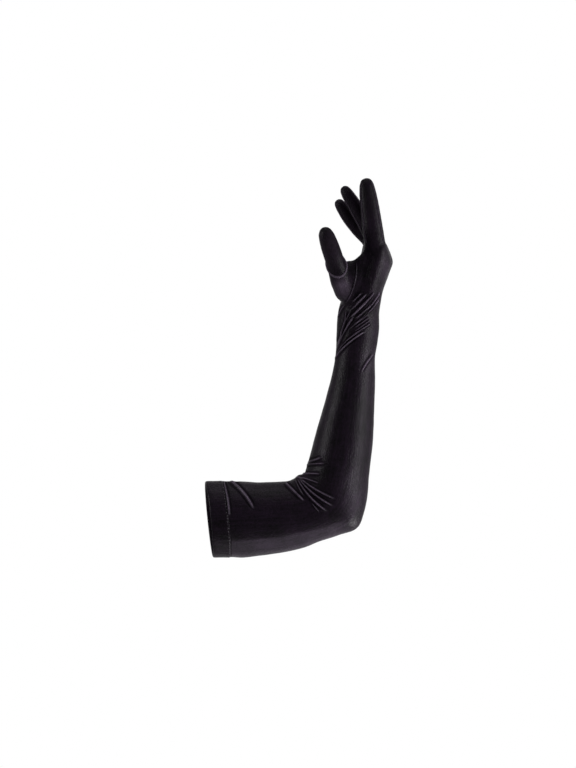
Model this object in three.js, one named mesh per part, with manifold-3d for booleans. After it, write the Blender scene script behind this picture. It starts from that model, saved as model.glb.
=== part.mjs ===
// A long opera glove in stretch velvet, for the right arm, with the shape that it has on a bent arm.
// Its main cloth is a tube that runs from a turned hem over the upper arm, the elbow and the forearm
// to the hand, and ends in four fingers. The thumb is a piece of its own, sewn into the palm.
// Millimetres, +Z up. The origin is the middle of the arm opening and +X runs from it to the elbow.
// The thumb side is -Y, and the back of the hand faces +X.
import * as THREE from "three";
import { mergeVertices } from "three/addons/utils/BufferGeometryUtils.js";
import Module from "manifold-3d";

const wasm = await Module();
wasm.setup();

// The cloth and how it is sewn.
const clothWall = 1.4;
const hemWall = 2.4;
const hemDepth = 22;
const seamGap = 0.3;

// The arm that the glove fits: lengths along its middle and widths seen from the side. Angles are in
// degrees. The opening's edge is not square to the arm, and evens out to a square section by slantEnd.
const upperLength = 110;
const upperWidth = 93;
const upperRise = 3.65;
const openingTilt = 2.2;
const openingTurn = 4;
const slantEnd = 77;
const elbowWidth = 92;
const elbowTurn = 76.35;
const elbowMargin = 4;
const crookRadius = 6;
const forearmLength = 190;
const forearmWidth = 80;
const wristWidth = 50;

// The hand. The knuckle row is as wide as the finger roots, their spaces and a margin at either end. The
// first finger gives the digits' sizes. The hand's cloth is in three lengths, so that each is a plain
// tube: they meet at heelEnd and knuckleStart, as shares of the palm's length.
const palmLength = 102;
const palmThickness = 35;
const palmMargin = 3;
const fingerSpacing = 1.6;
const fingerLength = 94;
const fingerWidth = 18.6;
const fingerDepth = 21.4;
const heelEnd = 0.22;
const knuckleStart = 0.873;

// The folds: how far a fold stands up, half its width, and the shares of its run between which it rises
// at its start and dies out at its end.
const foldHeight = 2.3;
const foldWidth = 3.4;
const foldRise = [-0.12, 0.15];
const foldFade = [0.6, 1.1];

// How finely the cloth is cut into flat faces.
const armSides = 28;
const fingerSides = 12;
const webSides = { round: 12, high: 7 };
const ringStep = { hem: 22, upper: 11, elbow: 4.6, forearm: 14.5, palm: 11.5 };
const walkStep = 0.5;
const mergeDistance = 1e-4;

const velvet = { color: 0x17131a, roughness: 0.85, metalness: 0 };
const radians = THREE.MathUtils.degToRad;

// Sections of the tube round the arm. at is the share of the part's length, and inner, outer and side are
// shares of half of the named width: inner is the side that the elbow bends to and the palm, outer the
// elbow's tip and the back of the hand, and side is half the depth across.
const armRows = [
  { part: "upper", at: 0, of: upperWidth, inner: 1, outer: 1.045, side: 0.9 },
  { part: "upper", at: 0.2, of: upperWidth, inner: 0.965, outer: 1.06, side: 0.91 },
  { part: "upper", at: 0.36, of: upperWidth, inner: 0.925, outer: 1.1, side: 0.92 },
  { part: "upper", at: 0.64, of: upperWidth, inner: 0.87, outer: 1.06, side: 0.91 },
  { part: "upper", at: 0.91, of: upperWidth, inner: 0.885, outer: 0.968, side: 0.87 },
  { part: "elbow", at: 0, of: elbowWidth, inner: 0.955, outer: 0.926, side: 0.86 },
  { part: "elbow", at: 0.214, of: elbowWidth, inner: 0.99, outer: 0.85, side: 0.85 },
  { part: "elbow", at: 0.41, of: elbowWidth, inner: 1, outer: 0.935, side: 0.85 },
  { part: "elbow", at: 0.594, of: elbowWidth, inner: 1, outer: 1.135, side: 0.85 },
  { part: "elbow", at: 0.738, of: elbowWidth, inner: 0.98, outer: 1.035, side: 0.86 },
  { part: "elbow", at: 0.869, of: elbowWidth, inner: 0.93, outer: 0.96, side: 0.87 },
  { part: "forearm", at: 0, of: forearmWidth, inner: 0.98, outer: 1.04, side: 0.98 },
  { part: "forearm", at: 0.15, of: forearmWidth, inner: 0.89, outer: 0.96, side: 0.96 },
  { part: "forearm", at: 0.26, of: forearmWidth, inner: 0.85, outer: 0.925, side: 0.92 },
  { part: "forearm", at: 0.48, of: forearmWidth, inner: 0.74, outer: 0.8, side: 0.82 },
  { part: "forearm", at: 0.67, of: forearmWidth, inner: 0.65, outer: 0.69, side: 0.72 },
  { part: "forearm", at: 0.83, of: wristWidth, inner: 0.965, outer: 0.965, side: 1.04 },
  { part: "forearm", at: 0.93, of: wristWidth, inner: 1, outer: 1.03, side: 1.05 },
];

// How the forearm's middle leans, in degrees from the end of the elbow's bend.
const forearmLean = [
  { at: 0, lean: 0 },
  { at: 0.48, lean: 0.3 },
  { at: 0.67, lean: 2 },
  { at: 0.83, lean: 4.5 },
  { at: 1, lean: 5.5 },
];

// Sections of the palm from the wrist to past the knuckles. back and front are shares of half the palm's
// thickness, side is a share of half its breadth, and lean is how far the hand has bent back by there.
const palmRows = [
  { at: 0, back: 1.5, front: 1.457, side: 0.68, lean: 0 },
  { at: 0.147, back: 1.42, front: 1.53, side: 0.72, lean: 8 },
  { at: 0.265, back: 1.26, front: 1.56, side: 0.78, lean: 13 },
  { at: 0.363, back: 1.17, front: 1.48, side: 0.84, lean: 14 },
  { at: 0.57, back: 1.04, front: 1.22, side: 0.95, lean: 14 },
  { at: 0.784, back: 1.02, front: 1.26, side: 1, lean: 14 },
  { at: 0.9, back: 0.99, front: 1.24, side: 1, lean: 14 },
  { at: 1, back: 0.86, front: 1.32, side: 0.98, lean: 14 },
  { at: 1.07, back: 0.58, front: 1.18, side: 0.9, lean: 14 },
  { at: 1.12, back: 0.3, front: 0.6, side: 0.72, lean: 14 },
];

// The fingers, from the thumb side outwards. long, wide and thick are shares of the first finger's length,
// width and depth. root is the share of the palm's length where the joint is, arch how far it lies
// towards the back of the hand as a share of the palm's thickness, flex the angle in which the finger
// leaves the palm, curl how much it bends further by its tip, splay its lean to the thumb side, and seam
// the share of its length where its piece meets the hand's.
const fingers = [
  {
    name: "index_finger", long: 1, wide: 1, thick: 1,
    root: 0.94, arch: -0.115, flex: 27.3, curl: 0, splay: 2, seam: 0.32,
  },
  {
    name: "middle_finger", long: 0.952, wide: 0.946, thick: 0.832,
    root: 1.01, arch: -0.05, flex: 46, curl: 5.5, splay: 0, seam: 0.31,
  },
  {
    name: "ring_finger", long: 0.872, wide: 0.882, thick: 0.794,
    root: 1.037, arch: 0.01, flex: 73.4, curl: -26.4, splay: -1, seam: 0.36,
  },
  {
    name: "little_finger", long: 0.713, wide: 0.806, thick: 0.72,
    root: 0.93, arch: -0.05, flex: 33, curl: 8, splay: -4, seam: 0.35,
  },
].map(sized);
// The thumb, and the web of cloth between it and the first finger, have columns like the fingers'. aside
// is their place towards the thumb side as a share of the palm's breadth. The thumb's seam is a slanting
// one, higher towards the web, and it leans by seamTilt.
const thumb = sized({
  name: "thumb", long: 1.096, wide: 1.21, thick: 1.01,
  root: 0.27, arch: -0.5, aside: 0.2, flex: 36.4, curl: 0, splay: 18, seam: 0.45,
});
const seamTilt = 45;
const web = sized({ long: 0.447, wide: 1.183, thick: 2.056, root: 0.585, arch: -0.63, aside: 0.33 });

// Sections of a finger and of the thumb: the share of its length, its width as a share of its own, and
// the share of the cloth's wall that it has there.
const fingerRows = [
  { at: 0, girth: 0.92, wall: 1 },
  { at: 0.16, girth: 1.12, wall: 1 },
  { at: 0.3, girth: 1.04, wall: 1 },
  { at: 0.5, girth: 0.97, wall: 1 },
  { at: 0.67, girth: 0.92, wall: 1 },
  { at: 0.81, girth: 0.8, wall: 1 },
  { at: 0.92, girth: 0.66, wall: 0.94 },
  { at: 0.975, girth: 0.44, wall: 0.5 },
  { at: 1, girth: 0.14, wall: 0.3 },
];
const thumbRows = [
  { at: 0, girth: 1.12, wall: 1 },
  { at: 0.12, girth: 1.32, wall: 1 },
  { at: 0.28, girth: 1.24, wall: 1 },
  { at: 0.42, girth: 1.1, wall: 1 },
  { at: 0.55, girth: 1, wall: 1 },
  { at: 0.7, girth: 1.01, wall: 1 },
  { at: 0.85, girth: 0.92, wall: 1 },
  { at: 0.94, girth: 0.72, wall: 0.78 },
  { at: 0.98, girth: 0.46, wall: 0.46 },
  { at: 1, girth: 0.14, wall: 0.3 },
];

// Folds of the cloth. from and to are a share of the part's length and an angle round the arm in degrees:
// 0 is the outer side, 90 the thumb side and 180 the inner side. high and broad scale the fold's size.
const folds = [
  { part: "upper", from: [0.18, 218], to: [0.53, 104], high: 1, broad: 1.3 },
  { part: "upper", from: [0.3, 232], to: [0.46, 282], high: 0.7, broad: 1 },
  { part: "upper", from: [0.89, 166], to: [1.12, 108], high: 0.9, broad: 1 },
  { part: "elbow", from: [0.1, 164], to: [0.47, 76], high: 1, broad: 1 },
  { part: "elbow", from: [0.38, 180], to: [0.57, 76], high: 1, broad: 0.9 },
  { part: "elbow", from: [0.58, 180], to: [0.71, 80], high: 1, broad: 0.9 },
  { part: "elbow", from: [0.7, 180], to: [0.86, 108], high: 0.8, broad: 0.8 },
  { part: "elbow", from: [0.86, 180], to: [1.06, 116], high: 0.9, broad: 0.9 },
  { part: "forearm", from: [0.03, 176], to: [0.09, 112], high: 0.9, broad: 1 },
  { part: "elbow", from: [0.08, 190], to: [0.4, 268], high: 0.9, broad: 1 },
  { part: "elbow", from: [0.3, 184], to: [0.55, 276], high: 1, broad: 1 },
  { part: "elbow", from: [0.55, 184], to: [0.72, 270], high: 1, broad: 0.9 },
  { part: "elbow", from: [0.8, 184], to: [0.98, 256], high: 0.9, broad: 0.9 },
  { part: "forearm", from: [0.04, 186], to: [0.1, 250], high: 0.8, broad: 1 },
  { part: "forearm", from: [0.72, 172], to: [1.02, 76], high: 1.1, broad: 1.5 },
  { part: "forearm", from: [0.8, 166], to: [1.1, 60], high: 1.1, broad: 1.5 },
  { part: "forearm", from: [0.9, 150], to: [1.16, 50], high: 1, broad: 1.4 },
];

// A digit's sizes in millimetres, from its shares.
function sized({ long, wide, thick, ...rest }) {
  return {
    ...rest,
    length: long * fingerLength,
    wide: wide * fingerWidth,
    thick: thick * fingerDepth,
  };
}

// Places along the glove are stations: the distance from the opening along the arm's middle.
const thumbSide = new THREE.Vector3(0, -1, 0);
const elbowLength = (elbowWidth / 2 + crookRadius) * radians(elbowTurn);
const parts = {
  upper: { start: 0, length: upperLength },
  elbow: { start: upperLength, length: elbowLength },
  forearm: { start: upperLength + elbowLength, length: forearmLength },
  palm: { start: upperLength + elbowLength + forearmLength, length: palmLength },
};

const stationOf = (part, at) => parts[part].start + at * parts[part].length;

// A smooth curve through a table's column, with no overshoot between its rows.
function along(rows, key, at, place = "at") {
  const last = rows.length - 1;
  if (at <= rows[0][place]) return rows[0][key];
  if (at >= rows[last][place]) return rows[last][key];
  const slope = (i) =>
    (rows[i + 1][key] - rows[i][key]) / (rows[i + 1][place] - rows[i][place]);
  const tangent = (i) => {
    if (i === 0 || i === last) return 0;
    const before = slope(i - 1);
    const after = slope(i);
    return before * after <= 0 ? 0 : (2 * before * after) / (before + after);
  };
  const i = rows.findIndex((row) => row[place] > at) - 1;
  const span = rows[i + 1][place] - rows[i][place];
  const t = (at - rows[i][place]) / span;
  const [a, b] = [rows[i][key], rows[i + 1][key]];
  const rise = t * t * (3 - 2 * t);
  const swing = t * (1 - t) * ((1 - t) * tangent(i) - t * tangent(i + 1));
  return a + (b - a) * rise + span * swing;
}

// Sizes of the tube's sections in millimetres, by station.
const palmBreadth =
  fingers.reduce((sum, finger) => sum + finger.wide, 0) +
  (fingers.length - 1) * fingerSpacing +
  2 * palmMargin;
const armSections = armRows.map((row) => ({
  station: stationOf(row.part, row.at),
  inner: (row.inner * row.of) / 2,
  outer: (row.outer * row.of) / 2,
  side: (row.side * row.of) / 2,
}));
const palmSections = palmRows.map((row) => ({
  station: stationOf("palm", row.at),
  inner: (row.front * palmThickness) / 2,
  outer: (row.back * palmThickness) / 2,
  side: (row.side * palmBreadth) / 2,
}));
const tubeSections = [...armSections, ...palmSections];
const sectionAt = (station, key) => along(tubeSections, key, station, "station");

// The way that the arm's middle runs at a station, in degrees above +X.
function armHeading(station) {
  const shareOf = ({ start, length }) => (station - start) / length;
  return (
    upperRise +
    elbowTurn * THREE.MathUtils.clamp(shareOf(parts.elbow), 0, 1) +
    along(forearmLean, "lean", shareOf(parts.forearm)) -
    along(palmRows, "lean", shareOf(parts.palm))
  );
}

// The arm's middle, found by walking along it in short steps.
const armLine = [new THREE.Vector3()];
const lineEnd = stationOf("palm", palmRows[palmRows.length - 1].at);
for (let s = 0; s < lineEnd; s += walkStep) {
  const heading = radians(armHeading(s + walkStep / 2));
  const step = new THREE.Vector3(Math.cos(heading), 0, Math.sin(heading));
  armLine.push(armLine[armLine.length - 1].clone().addScaledVector(step, walkStep));
}

function armPoint(station) {
  const place = station / walkStep;
  const i = THREE.MathUtils.clamp(Math.floor(place), 0, armLine.length - 2);
  return armLine[i].clone().lerp(armLine[i + 1], place - i);
}

// How far the folds lift the cloth at a station and an angle round the arm.
function foldLift(station, angle) {
  const perDegree = radians(sectionAt(station, "side"));
  return folds.reduce((lift, { part, from, to, high, broad }) => {
    const run = stationOf(part, to[0]) - stationOf(part, from[0]);
    const sweep = (to[1] - from[1]) * perDegree;
    const ahead = station - stationOf(part, from[0]);
    const turned = (angle - from[1]) * perDegree;
    const length = Math.hypot(run, sweep);
    const share = (ahead * run + turned * sweep) / length ** 2;
    const beside = (ahead * sweep - turned * run) / length;
    const rise = THREE.MathUtils.smoothstep(share, ...foldRise);
    const fade = 1 - THREE.MathUtils.smoothstep(share, ...foldFade);
    const crest = Math.exp(-((beside / (broad * foldWidth)) ** 2));
    return lift + high * foldHeight * rise * fade * crest;
  }, 0);
}

// One ring of points round the arm at a station, taken in by inset.
function armRing(station, inset) {
  const heading = radians(armHeading(station));
  const out = new THREE.Vector3(Math.sin(heading), 0, -Math.cos(heading));
  const forward = new THREE.Vector3(Math.cos(heading), 0, Math.sin(heading));
  const inner = sectionAt(station, "inner");
  const outer = sectionAt(station, "outer");
  const side = sectionAt(station, "side");
  const slant = 1 - THREE.MathUtils.smoothstep(station, hemDepth, slantEnd);
  return Array.from({ length: armSides }, (_, i) => {
    const angle = (i * 360) / armSides;
    const c = Math.cos(radians(angle));
    const s = Math.sin(radians(angle));
    const grow = foldLift(station, angle) - inset;
    const across = ((c > 0 ? outer : inner) + grow) * c;
    const aside = (side + grow) * s;
    const lead = across * Math.tan(radians(openingTilt)) + aside * Math.tan(radians(openingTurn));
    return armPoint(station)
      .addScaledVector(out, across)
      .addScaledVector(thumbSide, aside)
      .addScaledVector(forward, lead * slant);
  });
}

// Faces between rings of points. A closed body has its two ends filled from their middles.
function surface(rings, faces, points, closedEnds) {
  const base = points.length;
  const sides = rings[0].length;
  rings.forEach((ring) => points.push(...ring));
  const at = (i, j) => base + i * sides + (j % sides);
  for (let i = 0; i + 1 < rings.length; i += 1) {
    for (let j = 0; j < sides; j += 1) {
      faces.push([at(i, j), at(i + 1, j), at(i + 1, j + 1)]);
      faces.push([at(i, j), at(i + 1, j + 1), at(i, j + 1)]);
    }
  }
  if (!closedEnds) return at;
  [0, rings.length - 1].forEach((i) => {
    const middle = new THREE.Vector3();
    rings[i].forEach((point) => middle.addScaledVector(point, 1 / sides));
    points.push(middle);
    for (let j = 0; j < sides; j += 1) {
      const pair = i === 0 ? [at(i, j), at(i, j + 1)] : [at(i, j + 1), at(i, j)];
      faces.push([points.length - 1, ...pair]);
    }
  });
  return at;
}

function geometryOf(points, faces) {
  const geometry = new THREE.BufferGeometry().setFromPoints(points);
  geometry.setIndex(faces.flat());
  return geometry;
}

function loft(rings) {
  const points = [];
  const faces = [];
  surface(rings, faces, points, true);
  return geometryOf(points, faces);
}

// A wall of cloth between an outer and an inner set of rings, open at both ends.
function wall(outerRings, innerRings) {
  const points = [];
  const faces = [];
  const outside = surface(outerRings, faces, points, false);
  const innerFaces = [];
  const inside = surface(innerRings, innerFaces, points, false);
  innerFaces.forEach(([a, b, c]) => faces.push([a, c, b]));
  const last = outerRings.length - 1;
  for (let j = 0; j < outerRings[0].length; j += 1) {
    faces.push([outside(0, j), outside(0, j + 1), inside(0, j + 1)]);
    faces.push([outside(0, j), inside(0, j + 1), inside(0, j)]);
    faces.push([outside(last, j), inside(last, j), inside(last, j + 1)]);
    faces.push([outside(last, j), inside(last, j + 1), outside(last, j + 1)]);
  }
  return geometryOf(points, faces);
}

function solid(geometry) {
  const bare = geometry.clone();
  bare.deleteAttribute("normal");
  bare.deleteAttribute("uv");
  const merged = mergeVertices(bare, mergeDistance);
  return new wasm.Manifold(
    new wasm.Mesh({
      numProp: 3,
      vertProperties: merged.attributes.position.array,
      triVerts: new Uint32Array(merged.index.array),
    }),
  );
}

function shape(body) {
  const mesh = body.getMesh();
  const geometry = new THREE.BufferGeometry();
  geometry.setAttribute("position", new THREE.BufferAttribute(mesh.vertProperties, 3));
  geometry.setIndex(new THREE.BufferAttribute(mesh.triVerts, 1));
  return geometry;
}

function piece(name, geometry) {
  geometry.computeVertexNormals();
  const mesh = new THREE.Mesh(geometry, new THREE.MeshStandardMaterial(velvet));
  mesh.name = name;
  return mesh;
}

function stations(from, to, step) {
  const count = Math.max(1, Math.round((to - from) / step));
  return Array.from({ length: count + 1 }, (_, i) => from + ((to - from) * i) / count);
}

function sleevePart(name, from, to, thickness, step) {
  const places = stations(from, to, step);
  const rings = (inset) => places.map((station) => armRing(station, inset));
  return piece(name, wall(rings(0), rings(thickness)));
}

// The turned hem, and the tube round the arm in three lengths that meet just past the elbow's bend.
function makeSleeve() {
  const elbowStart = parts.elbow.start - elbowMargin;
  const elbowEnd = parts.forearm.start + elbowMargin;
  const sleeve = new THREE.Group();
  sleeve.add(
    sleevePart("hem", 0, hemDepth, hemWall, ringStep.hem),
    sleevePart("upper_sleeve", hemDepth + seamGap, elbowStart, clothWall, ringStep.upper),
    sleevePart("elbow_sleeve", elbowStart + seamGap, elbowEnd, clothWall, ringStep.elbow),
    sleevePart("forearm_sleeve", elbowEnd + seamGap, parts.palm.start, clothWall, ringStep.forearm),
  );
  return sleeve;
}

// A finger's body, taken in by inset, in its own frame: +Z along it and +X to its back. Its middle is
// found by walking along it in short steps. Towards the tip the wall thins, so that the hollow stays inside.
function fingerSolid({ length, wide, thick, curl }, rows, inset) {
  const rings = [];
  const point = new THREE.Vector3();
  const bendAt = (distance) => radians((curl * distance) / length);
  let walked = 0;
  rows.forEach(({ at, girth, wall: share }) => {
    const target = at * (length - inset);
    while (walked < target) {
      const step = Math.min(walkStep, target - walked);
      const bend = bendAt(walked + step / 2);
      point.addScaledVector(new THREE.Vector3(-Math.sin(bend), 0, Math.cos(bend)), step);
      walked += step;
    }
    const bend = bendAt(walked);
    const back = new THREE.Vector3(Math.cos(bend), 0, Math.sin(bend));
    const ring = Array.from({ length: fingerSides }, (_, i) => {
      const angle = (i * 2 * Math.PI) / fingerSides;
      return point
        .clone()
        .addScaledVector(back, ((thick * girth) / 2 - inset * share) * Math.cos(angle))
        .addScaledVector(thumbSide, ((wide * girth) / 2 - inset * share) * Math.sin(angle));
    });
    rings.push(ring);
  });
  return solid(loft(rings));
}

// The hand is built in the wrist's frame, with +Z up the hand and +X to its back.
const hand = new THREE.Group();
hand.position.copy(armPoint(parts.palm.start));
hand.rotation.y = radians(90 - armHeading(parts.palm.start));
hand.updateMatrix();

const inHand = (object) => object.applyMatrix4(hand.matrix.clone().invert());

// The place in the hand of a digit's root, or of the web's middle.
function handPlace({ root, arch }, aside) {
  const lean = radians(along(palmRows, "lean", root));
  const place = inHand(armPoint(stationOf("palm", root)));
  place.x += arch * palmThickness * Math.cos(lean);
  place.z -= arch * palmThickness * Math.sin(lean);
  place.y = aside;
  return place;
}

// A digit's frame in the hand, with its flex and its splay.
function digitFrame(digit, aside) {
  const lean = along(palmRows, "lean", digit.root);
  const frame = new THREE.Group();
  frame.rotation.set(radians(digit.splay), radians(lean - digit.flex), 0, "YXZ");
  frame.position.copy(handPlace(digit, aside));
  frame.updateMatrix();
  return frame;
}

// The palm's body, with the tube's sections from a station to past the knuckles.
function palmSolid(from, inset) {
  const places = stations(from, lineEnd, ringStep.palm);
  const rings = places.map((station) => armRing(station, inset));
  const past = rings[rings.length - 1];
  const forward = armPoint(lineEnd).sub(armPoint(lineEnd - walkStep)).normalize();
  past.forEach((point) => point.addScaledVector(forward, -inset));
  return solid(inHand(loft(rings)));
}

// The web of cloth between the thumb and the first finger.
function webSolid(inset) {
  const body = new THREE.SphereGeometry(1, webSides.round, webSides.high);
  body.scale(web.thick / 2 - inset, web.wide / 2 - inset, web.length / 2 - inset);
  body.translate(...handPlace(web, -web.aside * palmBreadth));
  return solid(body);
}

// A large block that fills what lies above or below a height, with a face that leans to the thumb side.
function block(side, height, tilt) {
  const size = 2 * (palmLength + thumb.length);
  const box = new THREE.BoxGeometry(size, size, size);
  box.translate(0, 0, (side * size) / 2);
  box.rotateX(radians(tilt));
  box.translate(0, 0, height);
  return solid(box);
}

const union = (bodies) => bodies.reduce((sum, body) => sum.add(body));

// The digits with their frames: the fingers side by side from the thumb side, and the thumb.
function makeDigits() {
  let edge = palmMargin - palmBreadth / 2;
  const digits = fingers.map((finger) => {
    const frame = digitFrame(finger, edge + finger.wide / 2);
    edge += finger.wide + fingerSpacing;
    return { digit: finger, rows: fingerRows, frame, tilt: 0 };
  });
  const thumbFrame = digitFrame(thumb, -thumb.aside * palmBreadth);
  return [...digits, { digit: thumb, rows: thumbRows, frame: thumbFrame, tilt: seamTilt }];
}

// The hand's cloth is what lies between the joined bodies and their joined hollows. Each digit's piece
// starts at its seam, and the hand's is cut clear of it.
function makeHand() {
  const outside = [palmSolid(parts.palm.start + seamGap, 0), webSolid(0)];
  const hollow = [palmSolid(parts.palm.start - clothWall, clothWall), webSolid(clothWall)];
  const beyondSeams = [];
  makeDigits().forEach(({ digit, rows, frame, tilt }) => {
    const seam = digit.seam * digit.length;
    const pieceStart = seam + seamGap / Math.cos(radians(tilt));
    const whole = fingerSolid(digit, rows, 0);
    const bore = fingerSolid(digit, rows, clothWall);
    const room = fingerSolid(digit, rows, -seamGap).subtract(block(-1, seam, tilt));
    const inPlace = (body) => solid(shape(body).applyMatrix4(frame.matrix));
    outside.push(inPlace(whole));
    hollow.push(inPlace(bore));
    beyondSeams.push(inPlace(room));
    const shell = whole.subtract(bore).subtract(block(-1, pieceStart, tilt));
    frame.add(piece(digit.name, shape(shell)));
    hand.add(frame);
  });
  const cloth = union(outside).subtract(union(hollow)).subtract(union(beyondSeams));
  const heelTop = heelEnd * palmLength;
  const palmTop = knuckleStart * palmLength;
  const heel = cloth.subtract(block(1, heelTop, 0));
  const palm = cloth.subtract(block(-1, heelTop + seamGap, 0)).subtract(block(1, palmTop, 0));
  const knuckles = cloth.subtract(block(-1, palmTop + seamGap, 0));
  hand.add(
    piece("hand_heel", shape(heel)),
    piece("palm", shape(palm)),
    piece("knuckles", shape(knuckles)),
  );
  return hand;
}

const glove = new THREE.Group();
glove.add(makeSleeve(), makeHand());

export default glove;
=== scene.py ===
import math

import bmesh
import bpy
from mathutils import Matrix, Vector, noise
from mathutils.bvhtree import BVHTree
from mathutils.kdtree import KDTree


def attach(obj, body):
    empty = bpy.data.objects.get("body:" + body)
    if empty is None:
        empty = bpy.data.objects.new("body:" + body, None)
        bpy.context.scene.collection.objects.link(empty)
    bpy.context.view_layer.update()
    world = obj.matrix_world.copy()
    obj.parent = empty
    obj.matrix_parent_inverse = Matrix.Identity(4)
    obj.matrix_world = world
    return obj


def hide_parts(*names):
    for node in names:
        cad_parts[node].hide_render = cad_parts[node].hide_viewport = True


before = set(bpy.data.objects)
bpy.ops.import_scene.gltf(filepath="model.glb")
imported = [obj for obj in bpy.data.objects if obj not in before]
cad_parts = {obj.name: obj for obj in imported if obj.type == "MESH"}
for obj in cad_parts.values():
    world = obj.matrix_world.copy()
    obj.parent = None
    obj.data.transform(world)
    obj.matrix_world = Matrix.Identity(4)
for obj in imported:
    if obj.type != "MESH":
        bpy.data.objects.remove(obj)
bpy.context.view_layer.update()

# The camera. It stands level with the glove and square to the plane that the bent sleeve lies in, far
# enough off that the thumb, which is nearest, keeps its size against the rest.
lens = bpy.data.cameras.new("camera")
lens.lens = 225
lens.sensor_width = 36
lens.clip_end = 60
camera = bpy.data.objects.new("camera", lens)
camera.location = (0.09875, -6, 0.16875)
camera.rotation_euler = (math.radians(90), 0, 0)
bpy.context.scene.collection.objects.link(camera)
bpy.context.scene.camera = camera

# The trank is the glove's main cloth: one piece of stretch velvet that makes the sleeve, the palm, the
# back of the hand and the four fingers. It is cut flat, rolled up and sewn, so each tube here is
# a flat grid that is rolled and joined. Sizes are in millimetres until the mesh is finished.
# The inner side of the cloth is coarser than the outer, so it is kept a little further in.
CLOTH = 1.3
INNER_SPARE = 0.3
TRANK_START = 22.3
CUT_OFF = 12
DIGIT_EASE = 0.7
OUTER_VOXEL = 1.77
INNER_VOXEL = 3.6
OPENING_TILT = math.tan(math.radians(2.2))
OPENING_TURN = math.tan(math.radians(4))
OPENING_EVEN = (22, 77)
UPPER_RISE = 3.65
ELBOW_TURN = 76.35
ELBOW = (110, 179.3)
THUMB_SIDE = Vector((0, -1, 0))

# Along the sleeve's middle from the opening: half the width to the inner side, to the outer side, and
# half the depth across.
SLEEVE_ROWS = [
    (0, 47.3, 48.6, 41.9),
    (22, 46.1, 49.3, 42.3),
    (39.6, 44.8, 51.2, 42.8),
    (70.4, 41.7, 49.3, 42.3),
    (100.1, 41.2, 46.2, 40.5),
    (110, 43.9, 44.6, 39.6),
    (124.8, 45.5, 40.7, 39.1),
    (138.4, 46, 44.6, 39.1),
    (151.2, 46, 53.8, 39.1),
    (161.1, 45.1, 49, 39.6),
    (170.2, 42.8, 45, 40),
    (179.3, 39.2, 42.2, 39.2),
    (207.8, 35.6, 40, 38.4),
    (228.7, 34, 38.6, 36.8),
    (270.5, 29.6, 33.8, 32.8),
    (306.6, 26, 29.3, 28.8),
    (337, 24.1, 25.6, 26),
    (356, 25, 27.1, 26.3),
    (369.3, 25.5, 27.6, 26.7),
    (384.3, 26.8, 26, 28.2),
    (396.3, 27.3, 23.4, 30.6),
    (406.3, 25.9, 21.7, 32.9),
    (427.4, 21.3, 19.2, 37.2),
    (449.3, 22.1, 19.4, 39.2),
    (461.1, 21.7, 19.8, 39.2),
    (471.3, 23.1, 13.4, 38.4),
    (478.4, 20.7, 7.6, 35.3),
    (483.5, 10.5, 3.8, 28.2),
]
SLEEVE_END = SLEEVE_ROWS[-1][0]
FOREARM_LEAN = [(179.3, 0), (270.5, 0.3), (306.6, 2), (337, 4.5), (369.3, 5.5)]
PALM_LEAN = [(369.3, 0), (384.3, 8), (396.3, 13), (406.3, 14), (483.5, 14)]


def along(rows, at, column):
    """A smooth curve through a table's column, with no overshoot between its rows."""
    if at <= rows[0][0]:
        return rows[0][column]
    if at >= rows[-1][0]:
        return rows[-1][column]

    def slope(k):
        return (rows[k + 1][column] - rows[k][column]) / (rows[k + 1][0] - rows[k][0])

    def tangent(k):
        if k in (0, len(rows) - 1):
            return 0
        before, after = slope(k - 1), slope(k)
        return 0 if before * after <= 0 else 2 * before * after / (before + after)

    i = next(k for k, row in enumerate(rows) if row[0] > at) - 1
    span = rows[i + 1][0] - rows[i][0]
    t = (at - rows[i][0]) / span
    swing = t * (1 - t) * ((1 - t) * tangent(i) - t * tangent(i + 1))
    low, high = rows[i][column], rows[i + 1][column]
    return low + (high - low) * t * t * (3 - 2 * t) + span * swing


def smooth(low, high, value):
    """0 up to low, 1 from high on, and an even rise between them. low may be the larger."""
    t = min(1, max(0, (value - low) / (high - low)))
    return t * t * (3 - 2 * t)


def heading(station):
    """The way that the sleeve runs at a station, turned up from level."""
    bent = min(1, max(0, (station - ELBOW[0]) / (ELBOW[1] - ELBOW[0])))
    lean = along(FOREARM_LEAN, station, 1) - along(PALM_LEAN, station, 1)
    return math.radians(UPPER_RISE + ELBOW_TURN * bent + lean)


# The sleeve's middle, in steps, from the opening to the end of the palm.
STEP = 0.5
sleeve_line = [Vector()]
while len(sleeve_line) * STEP < SLEEVE_END + STEP:
    way = heading((len(sleeve_line) - 0.5) * STEP)
    sleeve_line.append(sleeve_line[-1] + STEP * Vector((math.cos(way), 0, math.sin(way))))


def sleeve_axes(station):
    """The sleeve's middle at a station, with the ways along it and to its outer side."""
    place = min(max(station / STEP, 0), len(sleeve_line) - 1.001)
    i = int(place)
    way = heading(station)
    forward = Vector((math.cos(way), 0, math.sin(way)))
    out = Vector((math.sin(way), 0, -math.cos(way)))
    return sleeve_line[i].lerp(sleeve_line[i + 1], place - i), forward, out


def sleeve_skin(station, turn, inset):
    """A point of the sleeve's cloth: turn is 0 on the outer side and a quarter on the thumb side."""
    middle, forward, out = sleeve_axes(station)
    c, s = math.cos(turn * math.tau), math.sin(turn * math.tau)
    across = (along(SLEEVE_ROWS, station, 2 if c > 0 else 1) - inset) * c
    aside = (along(SLEEVE_ROWS, station, 3) - inset) * s
    slant = (across * OPENING_TILT + aside * OPENING_TURN) * (1 - smooth(*OPENING_EVEN, station))
    return middle + out * across + THUMB_SIDE * aside + forward * slant


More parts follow.
